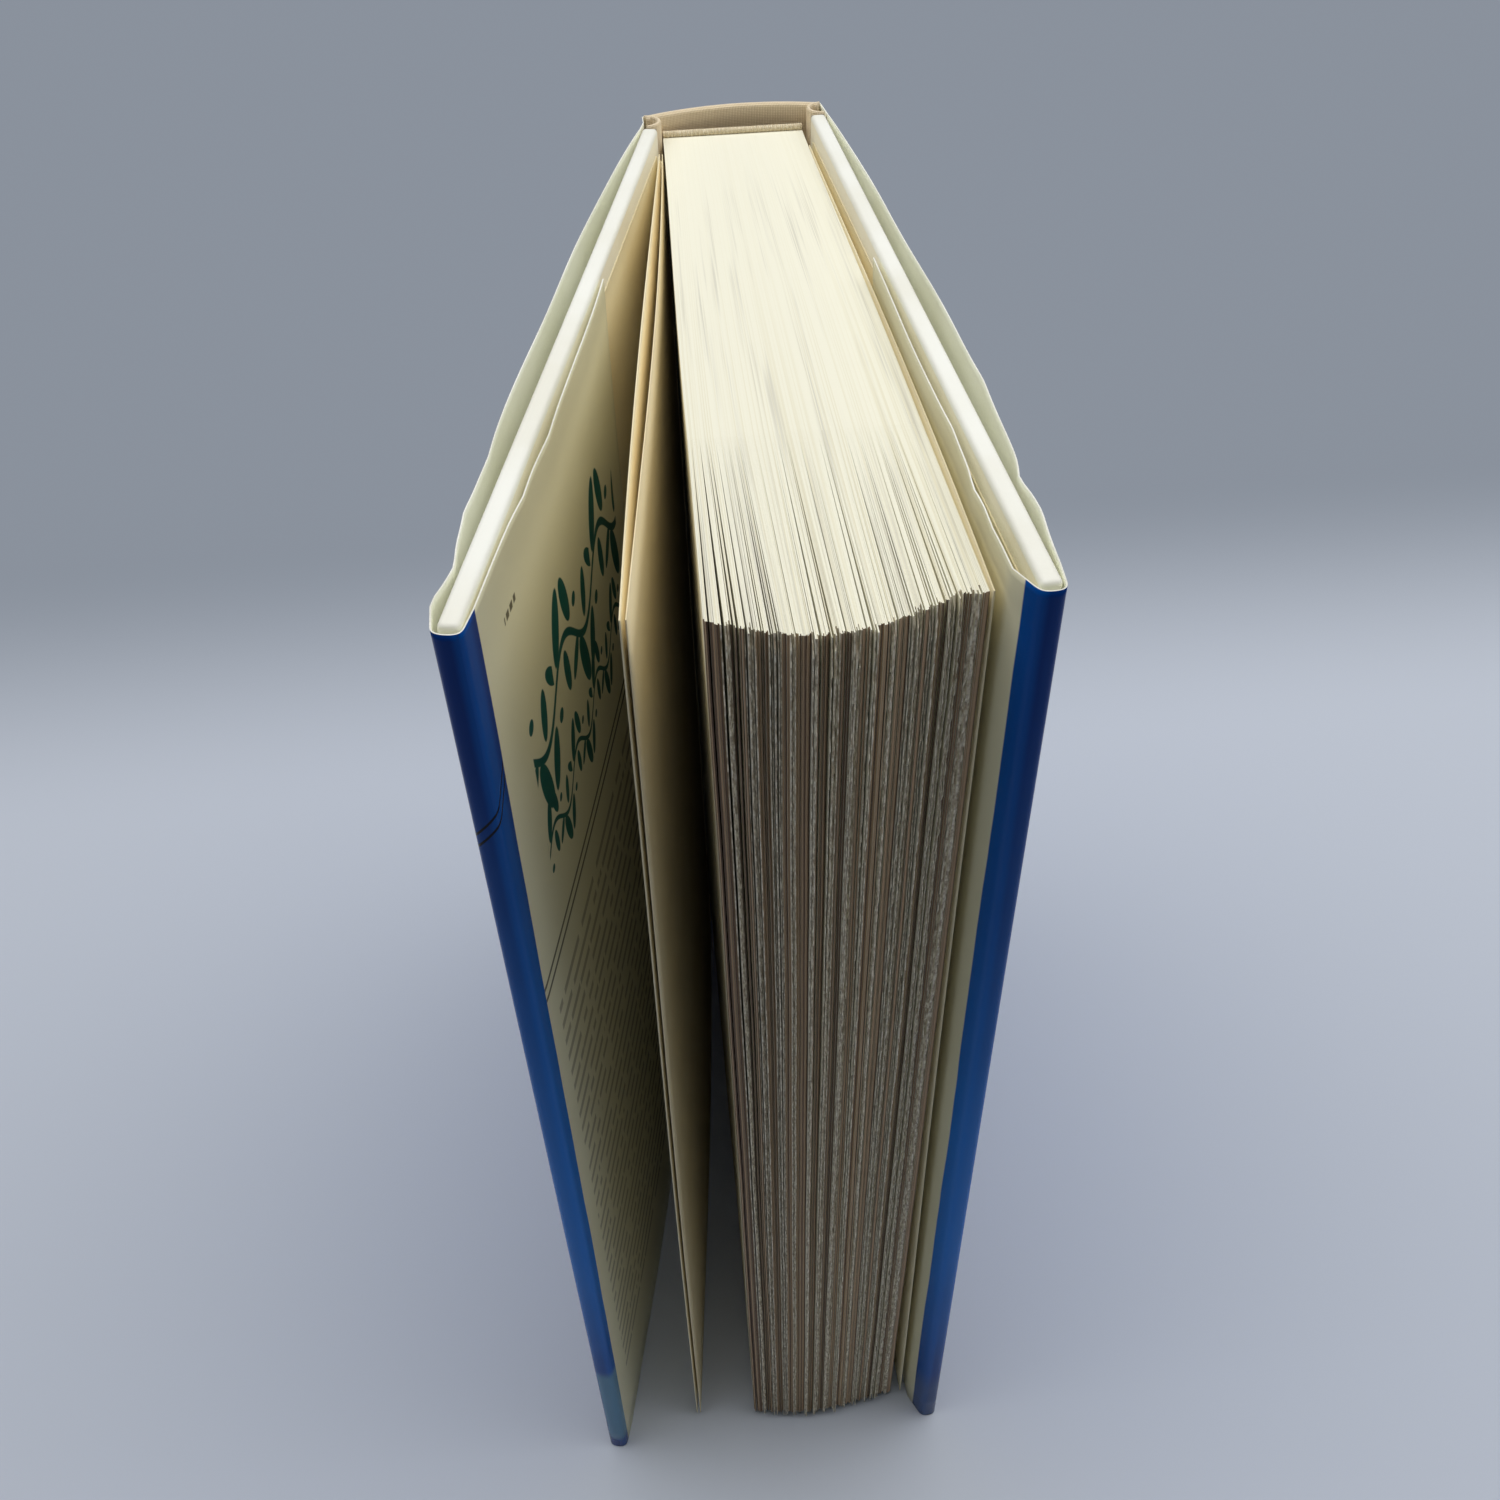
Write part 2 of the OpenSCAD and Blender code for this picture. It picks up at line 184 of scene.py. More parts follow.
# How the photograph was taken
CAMERA_PLACE = Vector((-23.52, -300.96, 345.31))
CAMERA_YAW = math.radians(4.509)
CAMERA_PITCH = math.radians(43.318)
CAMERA_ROLL = math.radians(-1.7076)
CAMERA_LENS = 34.44

# Surround: its colour, and where the floor fades into it, in metres, all round and behind the book
SURROUND = (0.255, 0.285, 0.335, 1.0)
FLOOR_FADE = (0.55, 2.2)
BACKDROP_FADE = (0.05, 0.21)

# Half the floor's width, in millimetres, and the share of the surround's light that falls on the book
FLOOR_HALF = 6000.0
WORLD_LIGHT = 0.06


class Cover:
    """A cover's own coordinates: u runs from the groove to the fore-edge, s points outward."""

    def __init__(self, body, joint, mount, side):
        self.body = body
        self.side = side
        self.hinge = Vector(JOINTS[joint]["pos_m"]).to_2d() / MM
        foot = Vector(MOUNTS[mount]["pos_m"]).to_2d() / MM - self.hinge
        self.angle = math.atan2(side * foot.x, -foot.y) + math.asin(COVERED_T / 2 / foot.length)
        self.along = Vector((side * math.sin(self.angle), -math.cos(self.angle)))
        self.outward = Vector((side * math.cos(self.angle), math.sin(self.angle)))
        self.board_end = 2 * foot.dot(self.along) - BOARD_START

    def point(self, u, s, z):
        return (self.hinge + self.along * u + self.outward * s).to_3d() + Vector((0, 0, z))


FRONT = Cover("front_cover", "front_cover_hinge", "front_cover_foot", -1)
BACK = Cover("back_cover", "back_cover_hinge", "back_cover_foot", 1)
BOARD_END = FRONT.board_end


# Formulas in node trees
class Field:
    """A socket with arithmetic, so that a rule in a node tree reads as a formula."""

    def __init__(self, tree, socket):
        self.tree = tree
        self.socket = socket

    def __add__(self, other):
        return calc("ADD", self, other)

    def __sub__(self, other):
        return calc("SUBTRACT", self, other)

    def __rsub__(self, other):
        return calc("SUBTRACT", other, self)

    def __mul__(self, other):
        return calc("MULTIPLY", self, other)

    def __rmul__(self, other):
        return calc("MULTIPLY", other, self)

    def __truediv__(self, other):
        return calc("DIVIDE", self, other)

    def __pow__(self, other):
        return calc("POWER", self, other)


def plug(tree, slot, value):
    """Links a field to a node's input, or sets a plain value there."""
    if isinstance(value, Field):
        tree.links.new(value.socket, slot)
    else:
        slot.default_value = value


def calc(operation, *values):
    """Result of a maths node on fields and plain numbers."""
    tree = next(value.tree for value in values if isinstance(value, Field))
    node = tree.nodes.new("ShaderNodeMath")
    node.operation = operation
    for slot, value in zip(node.inputs, values):
        plug(tree, slot, value)
    return Field(tree, node.outputs[0])


def between(first, second, share):
    """Value at a share of the way from first to second."""
    return (second - first) * share + first


def ease(field, low, high):
    """Smooth step from 0 at low to 1 at high."""
    node = field.tree.nodes.new("ShaderNodeMapRange")
    node.interpolation_type = "SMOOTHSTEP"
    plug(field.tree, node.inputs["Value"], field)
    node.inputs["From Min"].default_value = low
    node.inputs["From Max"].default_value = high
    return Field(field.tree, node.outputs["Result"])


def near(field, centre, inner, outer):
    """1 within the inner distance of a centre, 0 beyond the outer one."""
    return ease(calc("ABSOLUTE", field - centre), outer, inner)


def inside(field, low, high, soft=0.2):
    """1 between low and high, with soft edges."""
    return ease(field, low - soft, low + soft) * ease(field, high + soft, high - soft)


def split(vector):
    """The three parts of a vector."""
    node = vector.tree.nodes.new("ShaderNodeSeparateXYZ")
    plug(vector.tree, node.inputs[0], vector)
    return [Field(vector.tree, output) for output in node.outputs]


def join(tree, x, y, z):
    node = tree.nodes.new("ShaderNodeCombineXYZ")
    for slot, value in zip(node.inputs, (x, y, z)):
        plug(tree, slot, value)
    return Field(tree, node.outputs[0])


def noise(vector, scale, detail=2.0, roughness=0.5):
    node = vector.tree.nodes.new("ShaderNodeTexNoise")
    plug(vector.tree, node.inputs["Vector"], vector)
    node.inputs["Scale"].default_value = scale
    node.inputs["Detail"].default_value = detail
    node.inputs["Roughness"].default_value = roughness
    return Field(vector.tree, node.outputs[0])


def chance(field):
    """A number from 0 to 1 that belongs to each value of a field."""
    node = field.tree.nodes.new("ShaderNodeTexWhiteNoise")
    node.noise_dimensions = "1D"
    plug(field.tree, node.inputs["W"], field)
    return Field(field.tree, node.outputs["Value"])


def tone(red, green, blue):
    """Linear colour of a screen colour from 0 to 255."""
    values = [channel / 255 for channel in (red, green, blue)]
    return [v / 12.92 if v <= 0.04045 else ((v + 0.055) / 1.055) ** 2.4 for v in values] + [1.0]


def mixed(share, first, second):
    """Colour that goes from first to second with a field."""
    tree = share.tree
    node = tree.nodes.new("ShaderNodeMix")
    node.data_type = "RGBA"
    plug(tree, node.inputs[0], share)
    plug(tree, node.inputs[6], first)
    plug(tree, node.inputs[7], second)
    return Field(tree, node.outputs[2])


class Finish:
    """A material under construction: its shader, its coordinates and its bump."""

    def __init__(self, name, roughness=0.6, **sockets):
        self.material = bpy.data.materials.new(name)
        self.material.use_nodes = True
        self.tree = self.material.node_tree
        self.shader = self.tree.nodes["Principled BSDF"]
        self.shader.inputs["Roughness"].default_value = roughness
        for socket, value in sockets.items():
            self.shader.inputs[socket.replace("_", " ")].default_value = value

    def place(self):
        node = self.tree.nodes.new("ShaderNodeTexCoord")
        return Field(self.tree, node.outputs["Object"])

    def sheet_place(self):
        """Distances along and up a sheet, in millimetres."""
        node = self.tree.nodes.new("ShaderNodeUVMap")
        node.uv_map = "sheet"
        along, up, _ = split(Field(self.tree, node.outputs["UV"]))
        return along / MM, up / MM

    def attribute(self, name):
        node = self.tree.nodes.new("ShaderNodeAttribute")
        node.attribute_name = name
        return Field(self.tree, node.outputs["Fac"])

    def set(self, socket, field):
        plug(self.tree, self.shader.inputs[socket], field)

    def bump(self, height, depth, strength=1.0):
        """Relief of the given depth in millimetres."""
        node = self.tree.nodes.new("ShaderNodeBump")
        node.inputs["Strength"].default_value = strength
        node.inputs["Distance"].default_value = depth * MM
        plug(self.tree, node.inputs["Height"], height)
        self.tree.links.new(node.outputs["Normal"], self.shader.inputs["Normal"])


def stretched(vector, x, y, z):
    """A vector with each part times a number."""
    across, deep, up = split(vector)
    return join(vector.tree, across * x, deep * y, up * z)


# Finishes
def paper_finish(name, pale, dark, roughness=0.65):
    """Uncoated paper: cloudy formation, short fibres and a slight tooth."""
    finish = Finish(name, roughness)
    place = finish.place()
    cloud = noise(place, 45, 4)
    fibres = noise(place, 2600, 1)
    finish.set("Base Color", mixed(ease(cloud * 0.7 + fibres * 0.3, 0.36, 0.66), pale, dark))
    finish.bump(fibres, 0.02)
    return finish.material


def head_colour(leaf, shade, y):
    """Cut head of the leaves: fine lines that get stronger towards the fore-edge, and streaks of grime."""
    tree = leaf.tree
    band = noise(join(tree, leaf * 0.3, y * 9, 0.0), 1.0, 2)
    lines = ease(shade * 0.7 + band * 0.3, 0.4, 0.85) * between(0.1, 0.55, ease(y, -0.05, -0.15))
    clean = mixed(lines, tone(242, 239, 219), tone(220, 212, 178))
    handled = noise(join(tree, leaf * 0.09, y * 16, 3.0), 1.0, 2)
    streaks = noise(join(tree, leaf * 0.7, y * 22, 7.0), 1.0, 2)
    grime = ease(handled, 0.48, 0.66) * ease(streaks, 0.42, 0.62) * ease(y, -0.015, -0.06)
    return mixed(grime * 0.6, clean, tone(198, 194, 178))


def fore_edge_colour_with_painted_light(leaf, shade, torn, z):
    """Fore-edge of the leaves: pale and specked where they are torn, browner where they are smooth, partly from
    age and partly as painted shade and highlight.
    """
    tree = leaf.tree
    dash = noise(join(tree, leaf * 0.8, 0.0, z * 520), 1.0, 2)
    speck = noise(join(tree, leaf * 1.7, 5.0, z * 1300), 1.0, 2)
    # Torn leaves: the pale specks are painted highlights and the dark flecks painted shade
    rough = mixed(ease(dash * 0.6 + speck * 0.4, 0.36, 0.62), tone(255, 247, 226), tone(172, 154, 128))
    # Smooth leaves: brown partly from age and partly as painted shade, with some leaves darker as painted shade
    # between them
    smooth = mixed(ease(shade, 0.1, 0.9), tone(194, 164, 130), tone(92, 70, 52))
    return mixed(torn, smooth, rough)


def page_finish():
    """Edges of the leaves, told apart by the way that they face; the fore-edge's darker colour is partly painted
    shade.
    """
    finish = Finish("page_edges", 0.75)
    place = finish.place()
    _, y, z = split(place)
    leaf = finish.attribute("leaf")
    shade = chance(calc("FLOOR", leaf))
    head = head_colour(leaf, shade, y)
    fore_edge = fore_edge_colour_with_painted_light(leaf, shade, finish.attribute("torn"), z)
    geometry = finish.tree.nodes.new("ShaderNodeNewGeometry")
    _, facing, _ = split(Field(finish.tree, geometry.outputs["Normal"]))
    # The fore-edge gets its darker colour, partly painted shade, and the head gets its pale one
    finish.set("Base Color", mixed(ease(calc("ABSOLUTE", facing), 0.4, 0.8), head, fore_edge))
    finish.bump(noise(stretched(place, 1.0, 1.0, 0.5), 2400, 1), 0.03)
    return finish.material


def oval(x, y, centre, tilt, length, width):
    """Share of ink inside a tilted oval."""
    across, above = x - centre[0], y - centre[1]
    turn = math.radians(tilt)
    out = across * math.cos(turn) + above * math.sin(turn)
    off = above * math.cos(turn) - across * math.sin(turn)
    return ease((out / length) ** 2.0 + (off / width) ** 2.0, 1.0, 0.84)


def vine(along, up, level, scale):
    """Share of ink in a printed vine border: a waving stem with leaves and buds on either side of it."""
    period = 30.0
    swing = 4.5
    x = calc("MODULO", along / scale, period)
    y = (up - level) / scale
    wave = calc("SINE", x * (2 * math.pi / period)) * swing
    ink = near(y, wave, 0.7, 1.0)
    for centre, tilt, length, width in (
        ((4.5, 9.0), 70, 6.5, 2.3), ((11.0, 9.5), 110, 5.5, 2.0), ((8.0, -2.0), 100, 4.6, 1.7),
        ((14.0, -4.0), 45, 4.0, 1.5), ((19.5, -9.0), 110, 6.5, 2.3), ((26.0, -9.5), 70, 5.5, 2.0),
        ((23.0, 2.0), 80, 4.6, 1.7), ((29.0, 4.5), 135, 4.0, 1.5), ((16.5, 5.5), 0, 1.3, 1.3),
        ((1.5, -5.5), 0, 1.3, 1.3),
    ):
        ink = calc("MAXIMUM", ink, oval(x, y, centre, tilt, length, width))
    return ink


def flap_ornament(along, up):
    """Share of ink in two vine borders, a large one over a small one."""
    large = vine(along - 3.0, up, level=204.0, scale=1.0)
    small = vine(along, up, level=184.0, scale=0.6)
    return calc("MAXIMUM", large, small) * inside(along, 18.0, 86.0)


def print_rows(along, up):
    """Share of ink in rows of plain bars of uneven length, as a grey field of print."""
    row = calc("FLOOR", up / ROW_PITCH)
    bar = inside(up - row * ROW_PITCH, 1.3, 2.9, 0.1)
    broken = ease(noise(join(along.tree, along * 0.3, row * 7.3, 0.0), 1.0, 1), 0.4, 0.43)
    return bar * broken * inside(along, 10.0, 84.0) * inside(up, 22.0, 158.3)


def fold_marks(along, up, cloud, blue):
    """Front fold: a paler patch at the tail and two dark strokes that slant across it."""
    patch = ease(up + cloud * 12, 46.0, 42.0) * ease(up, 3.0, 6.0) * ease(along, -2.5, -1.0)
    patched = mixed(patch, blue, tone(92, 138, 168))
    slant = up - along * 1.2
    strokes = near(slant, STROKE_HEIGHT, 0.2, 0.35) + near(slant, STROKE_HEIGHT + STROKE_GAP, 0.2, 0.35)
    return mixed(strokes * ease(along, -3.2, -2.8), patched, tone(10, 14, 24))


def flap_marks(along, up, cream):
    """Front flap: a double rule, the vine borders, rows of bars and a few bars near the head corner."""
    rule = near(up, RULE_HEIGHT, 0.35, 0.5) + near(up, RULE_HEIGHT + RULE_GAP, 0.35, 0.5)
    marked = mixed(rule * ease(along, 84.2, 83.8), cream, tone(104, 102, 86))
    marked = mixed(flap_ornament(along, up), marked, tone(14, 88, 84))
    marked = mixed(print_rows(along, up) * 0.5, marked, tone(92, 80, 62))
    corner_bars = ease(calc("MODULO", along, CORNER_BAR_PITCH), 1.4, 1.2) * near(along, 19.0, 2.8, 3.0)
    return mixed(corner_bars * near(up, CORNER_BAR_HEIGHT, 0.5, 0.7), marked, tone(110, 104, 84))


def jacket_print_finish(name, wrap, marked):
    """Gloss-coated print: blue over the cover, carried a little way round the fold onto the cream flap, with
    painted highlights on the blue.
    """
    finish = Finish(name, 0.3, Specular_IOR_Level=0.09)
    place = finish.place()
    along, up = finish.sheet_place()
    cloud = noise(place, 18, 3)
    highlight_streak = noise(stretched(place, 1.0, 1.0, 0.06), 260, 3)
    ripple = noise(stretched(place, 1.0, 1.0, 0.25), 40, 1)
    # The blue is darker towards the head and the tail and lighter between them
    bright = ease(up + cloud * 40, 30.0, 110.0) * ease(up + cloud * 60, 270.0, 120.0)
    blue = mixed(bright, tone(0, 50, 124), tone(10, 112, 200))
    # Lighter vertical streaks on the blue: painted highlights
    blue = mixed(ease(highlight_streak, 0.4, 0.8) * 0.12, blue, tone(20, 116, 200))
    # Lighter stripe near the fold: a painted highlight
    painted_fold_highlight = ease(along + cloud, 0.8, 1.8) * ease(along, 6.0, 4.0)
    blue = mixed(painted_fold_highlight * 0.25, blue, tone(10, 116, 214))
    cream = mixed(ease(cloud, 0.35, 0.7), tone(232, 228, 198), tone(226, 221, 188))
    if marked:
        blue = fold_marks(along, up, cloud, blue)
        cream = flap_marks(along, up, cream)
    else:
        dull_tail = ease(up + cloud * 16, 34.0, 22.0) * ease(along, -3.0, -1.0)
        blue = mixed(dull_tail * 0.6, blue, tone(70, 92, 128))
    wrap_head, wrap_tail = wrap
    edge = between(wrap_tail, wrap_head, up / BOARD_H) + (cloud - 0.5) * 1.6
    on_flap = ease(along - edge, -0.12, 0.12)
    finish.set("Base Color", mixed(on_flap, blue, cream))
    finish.set("Roughness", between(0.2, 0.4, on_flap) + noise(place, 9, 1) * 0.06)
    finish.bump(ripple * ease(along, 6.0, 4.0), 0.25, 0.5)
    return finish.material


def cover_paper_finish():
    """Smooth cream paper over the boards, with faint clouds and a laid tooth."""
    finish = Finish("cream_cover_paper", 0.55)
    place = finish.place()
    cloud = noise(place, 35, 4)
    tooth = noise(stretched(place, 1.0, 1.0, 3.0), 900, 2)
    finish.set("Base Color", mixed(ease(cloud, 0.35, 0.72), tone(249, 249, 240), tone(240, 238, 224)))
    finish.bump(tooth, 0.04)
    return finish.material


def cloth_finish(name, pale, dark, thread):
    """Plain-woven cloth whose threads are that many millimetres apart."""
    finish = Finish(name, 0.85, Sheen_Weight=0.15)
    place = finish.place()
    x, y, z = split(place)
    turn = math.pi / (thread * MM)
    weft = calc("SINE", (x + y * 0.3) * turn)
    warp = calc("SINE", z * turn)
    weave = calc("ABSOLUTE", weft * warp) + noise(place, 1500, 2) * 0.5
    finish.set("Base Color", mixed(ease(weave, 0.2, 1.1), dark, pale))
    finish.bump(weave, thread * 0.3)
    return finish.material


def card_finish(name, pale, dark):
    """Grey-brown board or card with flecks of fibre."""
    finish = Finish(name, 0.9)
    place = finish.place()
    fleck = noise(stretched(place, 1.0, 1.0, 0.3), 1600, 4, 0.7)
    finish.set("Base Color", mixed(ease(fleck, 0.3, 0.7), pale, dark))
    finish.bump(fleck, 0.1)
    return finish.material


def band_finish():
    """Silky thread in two close shades, wound over the bead of the band."""
    finish = Finish("band_thread", 0.5, Sheen_Weight=0.3)
    place = finish.place()
    turn = finish.attribute("turn")
    twist = noise(stretched(place, 1.0, 0.4, 0.4), 5200, 1)
    shade = calc("MODULO", calc("FLOOR", turn), 2.0)
    warm = mixed(shade, tone(238, 226, 198), tone(224, 208, 174))
    finish.set("Base Color", mixed(ease(twist, 0.3, 0.75), warm, tone(204, 188, 152)))
    finish.bump(twist, 0.08)
    return finish.material


PAGES = page_finish()
ENDPAPER = paper_finish("endpaper", tone(241, 229, 192), tone(236, 222, 182))
FIRST_PAGE = paper_finish("first_page", tone(243, 227, 187), tone(237, 219, 175))
JACKET_FRONT_PRINT = jacket_print_finish("jacket_front_print", FRONT_WRAP, marked=True)
JACKET_BACK_PRINT = jacket_print_finish("jacket_back_print", BACK_WRAP, marked=False)
JACKET_INSIDE = paper_finish("jacket_inside", tone(246, 247, 226), tone(238, 239, 214), 0.5)
JACKET_EDGE = paper_finish("jacket_cut_edge", tone(244, 243, 234), tone(226, 224, 210))
COVER_PAPER = cover_paper_finish()
TURN_IN_PAPER = paper_finish("turned_in_paper", tone(247, 241, 220), tone(240, 231, 204))
SPINE_CLOTH = cloth_finish("tan_spine_cloth", tone(250, 232, 200), tone(230, 208, 170), 0.32)
LINING = cloth_finish("spine_gauze", tone(224, 214, 188), tone(186, 172, 140), 0.8)
CARD = card_finish("spine_card", tone(188, 174, 144), tone(150, 136, 106))
BOARD = card_finish("grey_board", tone(166, 160, 148), tone(128, 122, 110))
BAND = band_finish()


# Building meshes
def mesh_object(name, points, faces, materials, slots=None, rounded=None):
    """Mesh of points in millimetres; rounded tells which faces are shaded smooth."""
    mesh = bpy.data.meshes.new(name)
    mesh.from_pydata([Vector(point) * MM for point in points], [], faces)
    for material in materials:
        mesh.materials.append(material)
    for i, polygon in enumerate(mesh.polygons):
        polygon.material_index = slots[i] if slots else 0
        polygon.use_smooth = rounded[i] if rounded else True
    mesh.validate()
    piece = bpy.data.objects.new(name, mesh)
    bpy.context.scene.collection.objects.link(piece)
    return piece


def grid_normal(grid, i, j):
    """Direction square to a grid of points at one of them."""
    columns, rows = len(grid), len(grid[0])
    along = grid[min(i + 1, columns - 1)][j] - grid[max(i - 1, 0)][j]
    up = grid[i][min(j + 1, rows - 1)] - grid[i][max(j - 1, 0)]
    return along.cross(up).normalized()


def closed_sheet(name, grid, thickness, materials, start=0.0):
    """Sheet about a grid of points: face, inner side and cut edge take a material each."""
    columns, rows = len(grid), len(grid[0])
    layer = columns * rows
    points = []
    for side in (1, -1):
        for i in range(columns):
            for j in range(rows):
                points.append(grid[i][j] + grid_normal(grid, i, j) * side * thickness / 2)
    faces, slots = [], []
    for i in range(columns - 1):
        for j in range(rows - 1):
            quad = [i * rows + j, (i + 1) * rows + j, (i + 1) * rows + j + 1, i * rows + j + 1]
            faces.append(quad)
            faces.append([layer + corner for corner in reversed(quad)])
            slots += [0, 1]
    rim = [i * rows for i in range(columns)]
    rim += [(columns - 1) * rows + j for j in range(1, rows)]
    rim += [i * rows + rows - 1 for i in range(columns - 2, -1, -1)]
    rim += list(range(rows - 2, 0, -1))
    for here, there in zip(rim, rim[1:] + rim[:1]):
        faces.append([here, here + layer, there + layer, there])
        slots.append(2)
    piece = mesh_object(name, points, faces, materials, slots, [slot < 2 for slot in slots])
    middle = rows // 2
    distance = [start]
    for i in range(1, columns):
        distance.append(distance[-1] + (grid[i][middle] - grid[i - 1][middle]).length)
    layout = piece.data.uv_layers.new(name="sheet")
    for loop in piece.data.loops:
        i, j = divmod(loop.vertex_index % layer, rows)
        layout.data[loop.index].uv = (distance[i] * MM, grid[i][j].z * MM)
    return piece


def shares(count):
    """Even steps from 0 to 1."""
    return [i / (count - 1) for i in range(count)]


def add_number(piece, name, values):
    """Gives each point of a piece a number that its finish reads."""
    attribute = piece.data.attributes.new(name, "FLOAT", "POINT")
    attribute.data.foreach_set("value", values)


def baked(name, tree, settings):
    """Plain mesh of what a geometry tree makes with the given input values."""
    carrier = bpy.data.objects.new(name, bpy.data.meshes.new(name))
    bpy.context.scene.collection.objects.link(carrier)
    modifier = carrier.modifiers.new(name, "NODES")
    modifier.node_group = tree
    for item in tree.interface.items_tree:
        if item.in_out == "INPUT":
            modifier[item.identifier] = settings[item.name]
    state = bpy.context.evaluated_depsgraph_get()
    finished = carrier.evaluated_get(state)
    mesh = bpy.data.meshes.new_from_object(finished, preserve_all_data_layers=True, depsgraph=state)
    carrier.modifiers.clear()
    bpy.data.objects.remove(carrier)
    mesh.name = name
    piece = bpy.data.objects.new(name, mesh)
    bpy.context.scene.collection.objects.link(piece)
    return piece


class Tree:
    """A geometry tree under construction."""

    def __init__(self, name, inputs):
        self.tree = bpy.data.node_groups.new(name, "GeometryNodeTree")
        for label, kind in inputs:
            self.tree.interface.new_socket(label, in_out="INPUT", socket_type="NodeSocket" + kind)
        self.tree.interface.new_socket("Geometry", in_out="OUTPUT", socket_type="NodeSocketGeometry")
        self.entry = self.tree.nodes.new("NodeGroupInput")
        self.exit = self.tree.nodes.new("NodeGroupOutput")

    def input(self, label):
        return Field(self.tree, self.entry.outputs[label])

    def node(self, kind, output=0, **sockets):
        node = self.tree.nodes.new(kind)
        for label, value in sockets.items():
            plug(self.tree, node.inputs[label.replace("_", " ")], value)
        return Field(self.tree, node.outputs[output])

    def number(self, geometry, label, value, domain):
        node = self.tree.nodes.new("GeometryNodeStoreNamedAttribute")
        node.data_type = "FLOAT"
        node.domain = domain
        plug(self.tree, node.inputs["Geometry"], geometry)
        node.inputs["Name"].default_value = label
        plug(self.tree, node.inputs["Value"], value)
        return Field(self.tree, node.outputs[0])

    def named(self, label):
        node = self.tree.nodes.new("GeometryNodeInputNamedAttribute")
        node.data_type = "FLOAT"
        node.inputs["Name"].default_value = label
        return Field(self.tree, node.outputs["Attribute"])

    def finish(self, geometry, material):
        finished = self.node("GeometryNodeSetMaterial", Geometry=geometry, Material=material)
        self.tree.links.new(finished.socket, self.exit.inputs[0])
        return self.tree


# Page block
def block_half(v, k):
    """Half the thickness of the page block at share v of its width and share k of its height."""
    fan = FAN_HALF_TAIL + (FAN_HALF_HEAD - FAN_HALF_TAIL) * k
    return BLOCK_T / 2 + (fan - BLOCK_T / 2) * math.sin(math.pi / 2 * v) ** FAN_POWER


def page_core():
    """The block behind the rough-cut edge, where the leaves lie close."""
    lengths, widths = 22, 46
    points, leaf = [], []
    for k, z in ((0, PAGE_FOOT), (1, PAGE_HEAD)):
        for share in shares(lengths):
            v = EDGE_START * share
            for u in shares(widths):
                points.append(((2 * u - 1) * block_half(v, k), BLOCK_Y - PAGE_W * v, z))
                leaf.append(u * LEAVES)

    def at(k, i, j):
        return (k * lengths + i) * widths + j

    faces = []
    for i in range(lengths - 1):
        for j in range(widths - 1):
            faces.append((at(1, i, j), at(1, i + 1, j), at(1, i + 1, j + 1), at(1, i, j + 1)))
            faces.append((at(0, i, j), at(0, i, j + 1), at(0, i + 1, j + 1), at(0, i + 1, j)))
        last = widths - 1
        faces.append((at(0, i, 0), at(0, i + 1, 0), at(1, i + 1, 0), at(1, i, 0)))
        faces.append((at(0, i, last), at(1, i, last), at(1, i + 1, last), at(0, i + 1, last)))
    for j in range(widths - 1):
        last = lengths - 1
        faces.append((at(0, 0, j), at(1, 0, j), at(1, 0, j + 1), at(0, 0, j + 1)))
        faces.append((at(0, last, j), at(0, last, j + 1), at(1, last, j + 1), at(1, last, j)))
    piece = mesh_object("page_core", points, faces, [PAGES], rounded=[False] * len(faces))
    add_number(piece, "leaf", leaf)
    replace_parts(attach(piece, "book_block"), "text_block")


